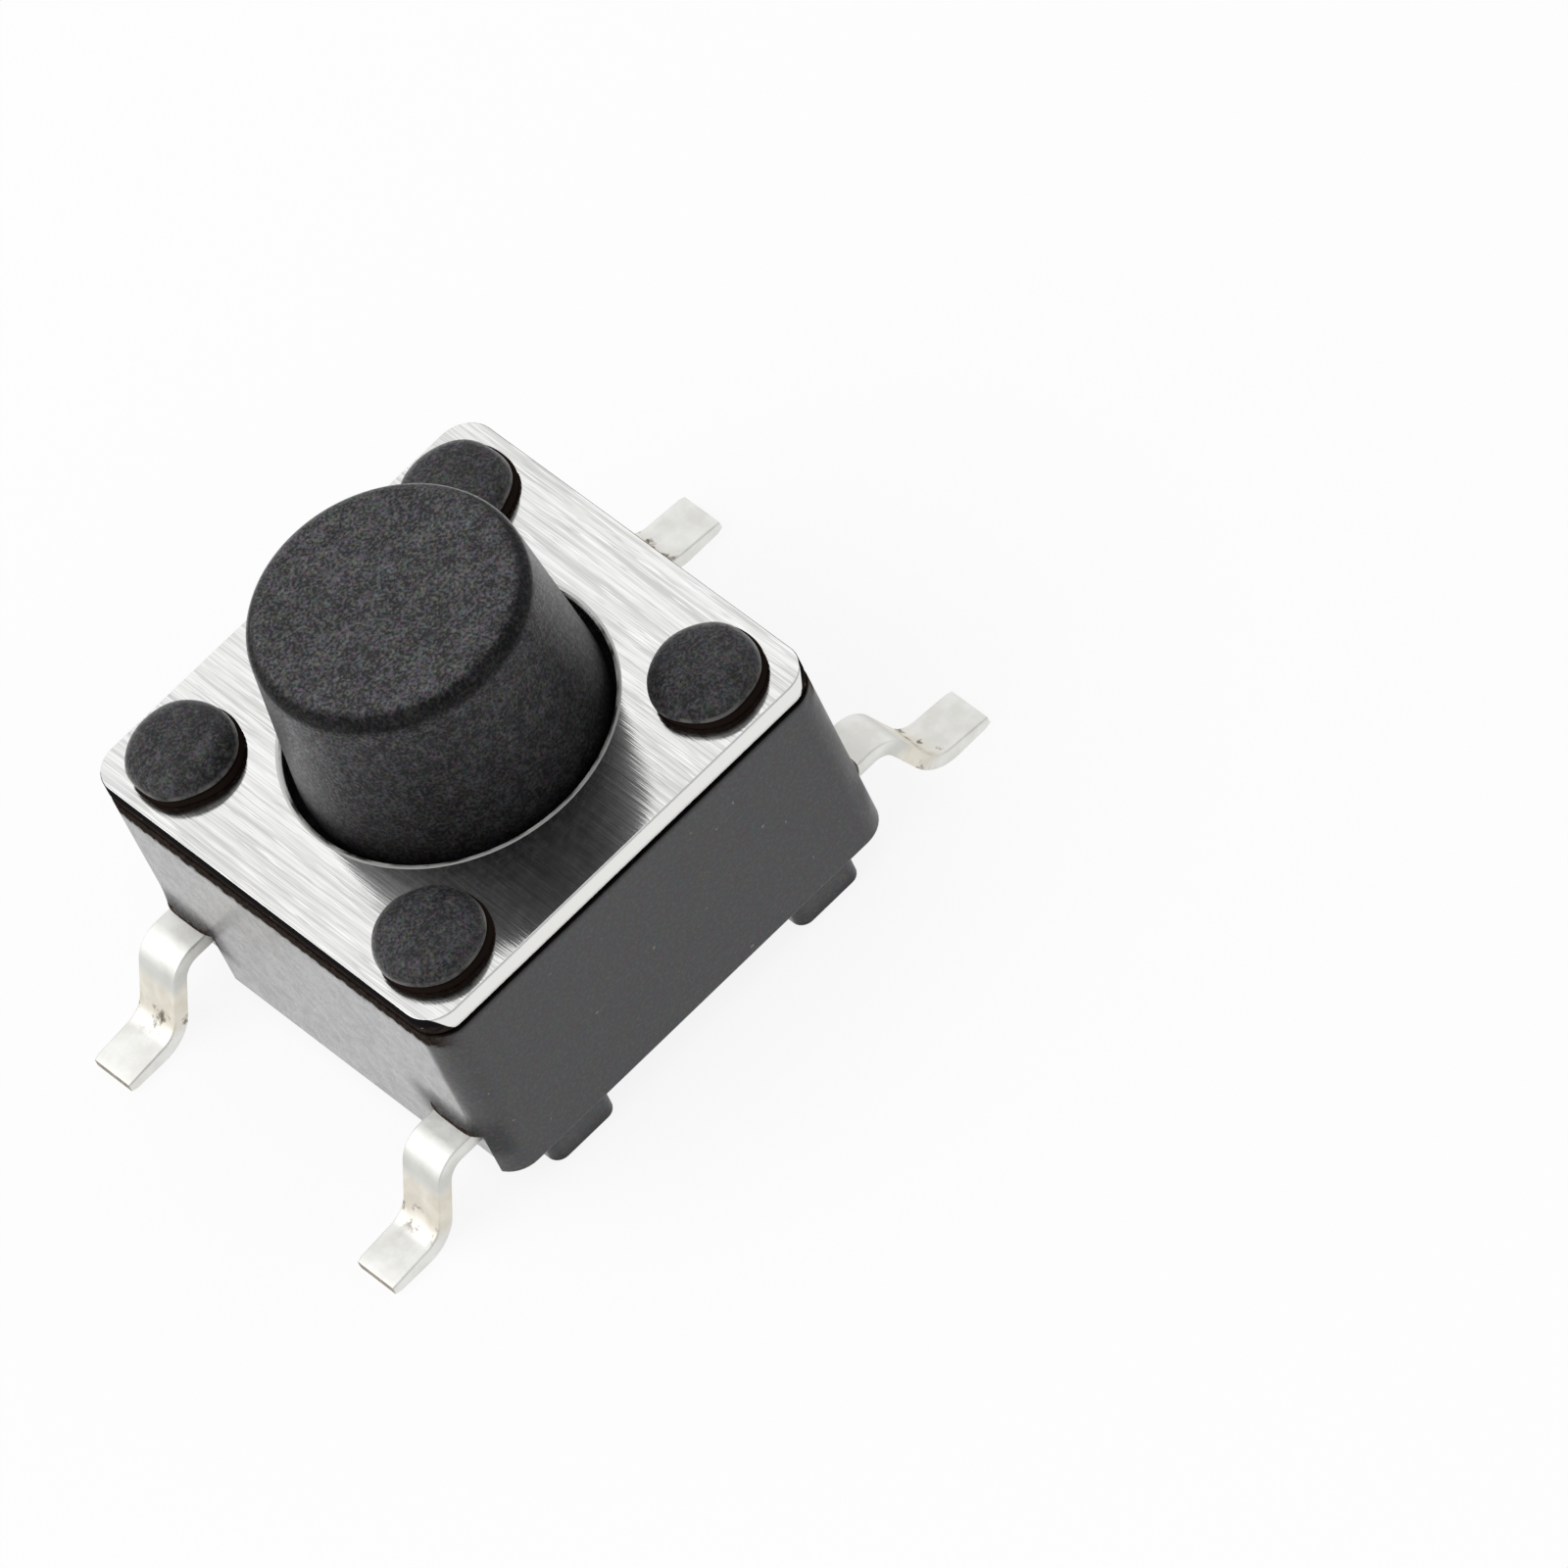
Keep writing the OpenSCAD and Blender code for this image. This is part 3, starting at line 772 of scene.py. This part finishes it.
def make_cover(materials):
    """The cover plate: crisp outer edges, and a hole whose rim is pressed down a little."""
    rim_r = COVER_HOLE_R + COVER_RIM_W

    def side(inset):
        return rounded_square(2 * (HALF_W - inset), COVER_CORNER_R - inset,
                              corner_steps=14, side_steps=26)

    def hole(radius):
        return [(radius * x / math.hypot(x, y), radius * y / math.hypot(x, y))
                for x, y in side(0)]

    rings = [ring_at(hole(COVER_HOLE_R), BASE_TOP)]
    for x, z in arc(COVER_HOLE_R + COVER_ROLL, COVER_TOP - 2 * COVER_ROLL, COVER_ROLL,
                    math.pi, 0.6 * math.pi, 4):
        rings.append(ring_at(hole(x), z))
    rings.append(ring_at(hole(COVER_HOLE_R + COVER_RIM_W / 2), COVER_TOP - 0.5 * COVER_ROLL))
    rings.append(ring_at(hole(rim_r), COVER_TOP))
    for share in (0.25, 0.5, 0.75):
        rings.append([(a[0] + (b[0] - a[0]) * share, a[1] + (b[1] - a[1]) * share, COVER_TOP)
                      for a, b in zip(hole(rim_r), side(COVER_ROLL))])
    for x, z in arc(COVER_ROLL, COVER_TOP - COVER_ROLL, COVER_ROLL, math.pi / 2, math.pi, 4):
        rings.append(ring_at(side(x), z))
    rings += [ring_at(side(inset), BASE_TOP + z) for inset, z in SHEARED_SIDE]
    bm = bmesh.new()
    loft(bm, rings, closed=True)
    plate = solid_object(bm)
    for polygon in plate.data.polygons:
        from_axis = polygon.center.xy.length
        if polygon.normal.z > 0.95 and polygon.center.z > COVER_TOP - 0.001:
            polygon.material_index = 0
        elif from_axis < COVER_HOLE_R + COVER_RIM_W / 2 and polygon.center.z > COVER_TOP - 0.05:
            polygon.material_index = 2
        else:
            polygon.material_index = 1
    return finish_piece(plate, "cover_plate", materials, "housing", "cover_plate", "cover")


def make_button(materials):
    """The turned button: nib, boss, flange and tapered cap."""
    rim_x, side_steps = BUTTON_TOP_R - BUTTON_RIM_R, 10
    profile = [(NIB_R - NIB_EDGE, NIB_Z), (NIB_R, NIB_Z + NIB_EDGE), (NIB_R, BOSS_Z),
               (BOSS_R - BOSS_EDGE, BOSS_Z), (BOSS_R, BOSS_Z + BOSS_EDGE),
               (BOSS_R, FLANGE_Z), (FLANGE_R - BOSS_EDGE, FLANGE_Z),
               (FLANGE_R, FLANGE_Z + BOSS_EDGE), (FLANGE_R, FLANGE_TOP),
               (BUTTON_R, FLANGE_TOP), (BUTTON_R, COVER_TOP)]
    for k in range(1, side_steps):
        share = k / side_steps
        profile.append((BUTTON_R + (BUTTON_TOP_R - BUTTON_R) * share,
                        COVER_TOP + (BUTTON_TOP - BUTTON_RIM_R - COVER_TOP) * share))
    profile += arc(rim_x, BUTTON_TOP - BUTTON_RIM_R, BUTTON_RIM_R, 0, math.pi / 2, 8)
    profile += [(rim_x * share, BUTTON_TOP) for share in (0.97, 0.8, 0.55, 0.3, 0.1)]
    bm = bmesh.new()
    lathe(bm, profile, 160)
    return finish_piece(solid_object(bm), "button_cap", materials, "plunger",
                        "button_plastic", "button")


def make_dome(materials):
    """The snap disc: a thin spherical cap."""
    rise = DOME_TOP - DOME_T - FLOOR_Z
    inner = DOME_R - DOME_T
    ball_r = (inner ** 2 + rise ** 2) / (2 * rise)
    ball_z = FLOOR_Z + rise - ball_r
    crown, steps = math.pi / 2 - 0.02, 24
    under = arc(0, ball_z, ball_r, crown, math.acos(inner / ball_r), steps)
    over = arc(0, ball_z, ball_r + DOME_T, math.acos(DOME_R / (ball_r + DOME_T)), crown, steps)
    bm = bmesh.new()
    lathe(bm, under + [(DOME_R, FLOOR_Z)] + over, 96)
    dome = finish_piece(solid_object(bm), "snap_dome", materials, "housing", "dome_sheet", "dome")
    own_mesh(dome)


def lead_path():
    """Middle line of a terminal from the centre to the +X tip, as (x, z, thickness)."""
    middle = FLOOR_Z - LEAD_T / 2
    bend_x, bend_r = HALF_W + LEAD_STRAIGHT, BEND_R + LEAD_T / 2
    heel_z, heel_r = LEAD_T + HEEL_R, HEEL_R + LEAD_T / 2
    bend_z = middle - bend_r
    radii = bend_r + heel_r
    slope = (bend_z - heel_z + radii * math.cos(LEAD_SLOPE)) / math.sin(LEAD_SLOPE)
    heel_x = bend_x + radii * math.sin(LEAD_SLOPE) + slope * math.cos(LEAD_SLOPE)
    line = [(0, middle), (HALF_W - LEAD_BURIED, middle), (HALF_W, middle)]
    line += arc(bend_x, bend_z, bend_r, math.pi / 2, math.pi / 2 - LEAD_SLOPE, 10)
    line += arc(heel_x, heel_z, heel_r, 3 * math.pi / 2 - LEAD_SLOPE, 3 * math.pi / 2, 12)
    path = [(x, z, LEAD_T) for x, z in line]
    for share in (0.3, 0.6, 0.85, 1.0):
        thick = LEAD_T + (TIP_T - LEAD_T) * share
        path.append((heel_x + (TIP_X - heel_x) * share, thick / 2, thick))
    return path


def strip_section(thick, inset):
    """Cross-section of the strip as (y, height) points, drawn in by inset at the ends."""
    y, h = LEAD_W / 2 - inset, thick / 2 - inset
    r = LEAD_EDGE_R
    points = []
    for corner, (sy, sh) in enumerate(((1, 1), (-1, 1), (-1, -1), (1, -1))):
        points += arc(sy * (y - r), sh * (h - r), r, math.pi / 2 * corner,
                      math.pi / 2 * (corner + 1), 4)
    return points


def sweep_strip(bm, path, row_y):
    """Sweeps the strip along a path in the XZ plane at y = row_y, with cut metal at its tips."""
    rings = []
    for k, (x, z, thick) in enumerate(path):
        before, after = path[max(k - 1, 0)], path[min(k + 1, len(path) - 1)]
        tangent = Vector((after[0] - before[0], after[1] - before[1])).normalized()
        at_tip = k in (0, len(path) - 1)
        if at_tip:
            tangent = Vector((1, 0))
        rings.append([(x - tangent.y * h, row_y + y, z + tangent.x * h)
                      for y, h in strip_section(thick, TIP_INSET if at_tip else 0.0)])
    loft(bm, rings, cap_first=True, cap_last=True)
    bm.faces.ensure_lookup_table()
    for face in bm.faces[-2:]:
        face.material_index = 1


def make_terminal(node, materials, row_y, tabs):
    """A terminal: one strip bent down at both ends, with flat tabs inside the base."""
    half = lead_path()
    path = [(-x, z, thick) for x, z, thick in reversed(half[1:])] + half
    bm = bmesh.new()
    sweep_strip(bm, path, row_y)
    for x_low, x_high, y_low, y_high in tabs:
        outline = [(x_low, y_low), (x_high, y_low), (x_high, y_high), (x_low, y_high)]
        loft(bm, [ring_at(outline, FLOOR_Z - LEAD_T), ring_at(outline, FLOOR_Z)],
             cap_first=True, cap_last=True)
    return finish_piece(solid_object(bm), node + "_strip", materials, "housing",
                        "tinned_strip", node)


# Scene


def make_camera():
    """A long lens at the photograph's viewing angle."""
    azimuth, elevation, roll = (math.radians(v) for v in (VIEW_AZIMUTH, VIEW_ELEVATION, VIEW_ROLL))
    out = Vector((math.sin(azimuth) * math.cos(elevation),
                  -math.cos(azimuth) * math.cos(elevation), math.sin(elevation)))
    level_right = Vector((math.cos(azimuth), math.sin(azimuth), 0))
    level_up = out.cross(level_right)
    right = level_right * math.cos(roll) - level_up * math.sin(roll)
    up = level_up * math.cos(roll) + level_right * math.sin(roll)
    data = bpy.data.cameras.new("camera")
    data.lens, data.sensor_width = LENS, SENSOR
    data.clip_start, data.clip_end = 0.01, 10
    camera = bpy.data.objects.new("camera", data)
    rotation = Matrix((right, up, out)).transposed().to_4x4()
    place = (Vector(VIEW_TARGET) + out * VIEW_DISTANCE) * MM
    camera.matrix_world = Matrix.Translation(place) @ rotation
    bpy.context.scene.collection.objects.link(camera)
    bpy.context.scene.camera = camera


def seen_directly(tree):
    """1 for rays that look at the background, straight or in a reflection."""
    path = add_node(tree, "ShaderNodeLightPath")
    glossy = arithmetic(tree, "MAXIMUM", path.outputs["Is Camera Ray"],
                        path.outputs["Is Glossy Ray"])
    return arithmetic(tree, "MAXIMUM", glossy, path.outputs["Is Transmission Ray"])


def make_floor():
    """A pale floor that looks white and still takes the object's shadow."""
    material = bpy.data.materials.new("floor")
    material.use_nodes = True
    tree = material.node_tree
    tree.nodes.clear()
    shade = (FLOOR_SHADE, FLOOR_SHADE, FLOOR_SHADE, 1)
    matt = add_node(tree, "ShaderNodeBsdfDiffuse", {"Color": shade})
    glow = add_node(tree, "ShaderNodeEmission", {
        "Color": (1, 1, 1, 1),
        "Strength": arithmetic(tree, "MULTIPLY", seen_directly(tree), FLOOR_GLOW)})
    both = add_node(tree, "ShaderNodeAddShader", {0: matt.outputs[0], 1: glow.outputs[0]})
    add_node(tree, "ShaderNodeOutputMaterial", {"Surface": both.outputs[0]})
    material.cycles.emission_sampling = "NONE"
    side = FLOOR_HALF_M
    mesh = bpy.data.meshes.new("floor")
    mesh.from_pydata([(-side, -side, 0), (side, -side, 0), (side, side, 0), (-side, side, 0)],
                     [], [(0, 1, 2, 3)])
    floor = bpy.data.objects.new("floor", mesh)
    floor.data.materials.append(material)
    bpy.context.scene.collection.objects.link(floor)


def make_world():
    """White surroundings, dimmer overhead on the camera's side as in a light tent."""
    world = bpy.data.worlds.new("tent")
    bpy.context.scene.world = world
    world.use_nodes = True
    world.cycles.sampling_method = "NONE"
    tree = world.node_tree
    tree.nodes.clear()
    path = add_node(tree, "ShaderNodeLightPath")
    direction = add_node(tree, "ShaderNodeTexCoord").outputs["Generated"]
    across = add_node(tree, "ShaderNodeVectorMath", {0: direction, 1: TENT_WAY},
                      operation="DOT_PRODUCT").outputs["Value"]
    strength = spread(tree, across, -0.5, 0.15, TENT_DIM, TENT_BRIGHT)
    for ray, value in (("Is Diffuse Ray", TENT_ON_MATT), ("Is Camera Ray", 1.0)):
        strength = add_node(tree, "ShaderNodeMix", {0: path.outputs[ray], 2: strength, 3: value},
                            data_type="FLOAT").outputs[0]
    back = add_node(tree, "ShaderNodeBackground", {"Color": (1, 1, 1, 1), "Strength": strength})
    add_node(tree, "ShaderNodeOutputWorld", {"Surface": back.outputs[0]})


def make_lamp(name, place, size, power):
    """A square soft lamp that faces the switch."""
    data = bpy.data.lights.new(name, "AREA")
    data.shape, data.size, data.energy = "SQUARE", size * MM, power
    lamp = bpy.data.objects.new(name, data)
    spot = Vector(place) * MM
    lamp.matrix_world = Matrix.Translation(spot) @ spot.to_track_quat("Z", "Y").to_matrix().to_4x4()
    bpy.context.scene.collection.objects.link(lamp)


make_camera()
tin, brass = tin_plate(), cut_brass()
make_base([smooth_plastic(), matt_plastic("stake_plastic", 0.13, stake_shade)])
make_cover([brushed_metal(), sheared_edge(), bright_rim()])
make_button([matt_plastic("button_plastic", 0.19, button_shade)])
make_terminal("centre_terminal", [tin, brass], ROW_Y,
              [(-TONGUE_W / 2, TONGUE_W / 2, -CONTACT_R, ROW_Y)])
make_terminal("outer_terminal", [tin, brass], -ROW_Y,
              [(s * ARM_X - ARM_W / 2, s * ARM_X + ARM_W / 2, -ROW_Y, ARM_REACH) for s in (-1, 1)])
make_dome([tin])
make_floor()
make_world()
make_lamp("key", LAMP_PLACE, LAMP_SIDE, LAMP_POWER)
bpy.context.scene.view_settings.view_transform = "Standard"
